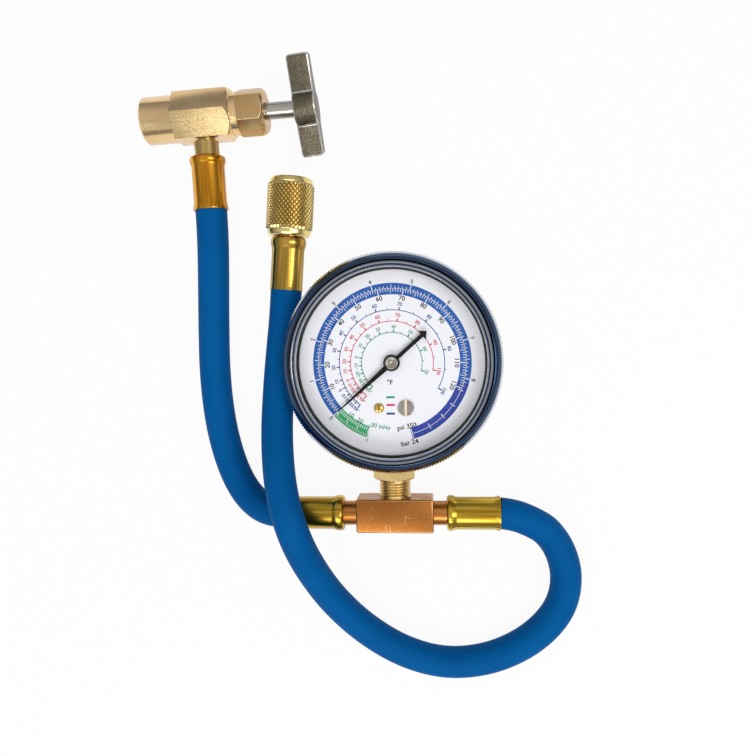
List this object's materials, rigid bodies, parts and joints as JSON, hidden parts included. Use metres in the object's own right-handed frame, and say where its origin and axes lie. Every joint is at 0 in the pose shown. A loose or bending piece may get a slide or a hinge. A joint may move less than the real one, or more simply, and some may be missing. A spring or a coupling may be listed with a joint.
{
  "type": "refrigerant charging hose with gauge",
  "caption": "Blue refrigerant charging hose with a can-tap valve, a tee carrying a round dial gauge, and a knurled swivel coupler, lying in a loop.",
  "frame": {"origin": "centre of the gauge case's back, on the table that the hose lies on", "axes": "+Z out of the dial, +Y towards the dial's 12 o'clock, +X to its 3 o'clock; the tee is at -Y and the valve at -X +Y"},
  "size_m": [0.1492, 0.2178, 0.0299],
  "materials": {
    "satin_brass": "satin",
    "bright_brass": "polished",
    "aged_brass": "satin",
    "blue_rubber": "matt",
    "black_rubber": "matt",
    "die_cast_zinc": "satin",
    "steel": "satin",
    "chrome": "polished",
    "clear_lens": "gloss",
    "printed_dial": "satin",
    "black_paint": "satin"
  },
  "bodies": {
    "assembly": {"bezel": "chrome", "bourdon_tube": "satin_brass", "can_gasket": "black_rubber", "case_screws": "steel", "core_depressor": "satin_brass", "coupler_ferrule": "bright_brass", "coupler_gasket": "black_rubber", "coupler_nipple": "satin_brass", "dial_plate": "printed_dial", "dial_posts": "satin_brass", "dial_screw": "bright_brass", "gauge_case": "chrome", "gauge_socket": "satin_brass", "hairspring": "steel", "hairspring_stud": "satin_brass", "hose_to_coupler": "blue_rubber", "hose_to_valve": "blue_rubber", "lens": "clear_lens", "lens_gasket": "black_rubber", "movement_lower_plate": "satin_brass", "movement_pillars": "satin_brass", "movement_screws": "steel", "movement_upper_plate": "satin_brass", "packing_nut": "satin_brass", "packing_ring": "black_rubber", "packing_washer": "steel", "tee_block": "aged_brass", "tee_left_ferrule": "bright_brass", "tee_left_nipple": "satin_brass", "tee_right_ferrule": "bright_brass", "tee_right_nipple": "satin_brass", "valve_body": "satin_brass", "valve_ferrule": "bright_brass", "valve_outlet_nipple": "satin_brass"},
    "needle": {"piercing_needle": "steel"},
    "tap": {"tap_spindle": "steel", "tap_handle": "die_cast_zinc"},
    "swivel_nut": {"coupler_nut": "bright_brass"},
    "pointer_group": {"pointer": "black_paint", "pointer_cap": "chrome", "pinion_arbor": "satin_brass"},
    "sector_group": {"sector_gear": "satin_brass", "sector_arbor": "steel", "tail_pin": "steel"},
    "tube_tip": {"bourdon_tip": "satin_brass", "tip_pin": "steel"},
    "link_bar": {"link": "satin_brass"},
    "calibration": {"calibration_screw": "steel"}
  },
  "joints": [
    {"name": "needle_travel", "type": "slide", "parent": "assembly", "child": "needle", "axis": [0.999, 0.0436, 0], "range_m": [-0.007, 0]},
    {"name": "handle_turn", "type": "hinge", "parent": "needle", "child": "tap", "pos_m": [-0.0637, 0.0851, 0.0101], "axis": [0.999, 0.0436, 0], "range_deg": [-2522, 2]},
    {"name": "coupler_nut_spin", "type": "hinge", "parent": "assembly", "child": "swivel_nut", "pos_m": [-0.0371, 0.0253, 0.008], "axis": [0.0732, 0.9973, 0], "continuous": true},
    {"name": "tube_tip_travel", "type": "slide", "parent": "assembly", "child": "tube_tip", "axis": [0.9193, 0.3936, 0], "range_m": [-0.00031, 0.00301], "deforming": ["bourdon_tube"]},
    {"name": "link_swing", "type": "hinge", "parent": "tube_tip", "child": "link_bar", "pos_m": [0.0175, -0.0135, 0.0112], "axis": [0, 0, 1], "range_deg": [-1, 3]},
    {"name": "sector_turn", "type": "hinge", "parent": "assembly", "child": "sector_group", "pos_m": [0, -0.0162, 0.0103], "axis": [0, 0, 1], "range_deg": [-4, 37]},
    {"name": "pointer_turn", "type": "hinge", "parent": "assembly", "child": "pointer_group", "pos_m": [0, 0, 0.0185], "axis": [0, 0, 1], "range_deg": [-290, 31], "deforming": ["hairspring"]},
    {"name": "calibration_turn", "type": "hinge", "parent": "assembly", "child": "calibration", "pos_m": [0.0045, -0.0151, 0.0185], "axis": [0, 0, 1], "range_deg": [-60, 60]}
  ],
  "couplings": [
    {"joint": "handle_turn", "follows": "needle_travel", "rad_per_m": 6283.2},
    {"joint": "pointer_turn", "follows": "tube_tip_travel", "rad_per_m": -1672.9},
    {"joint": "sector_turn", "follows": "tube_tip_travel", "rad_per_m": 209.12},
    {"joint": "link_swing", "follows": "tube_tip_travel", "rad_per_m": 13.237}
  ]
}
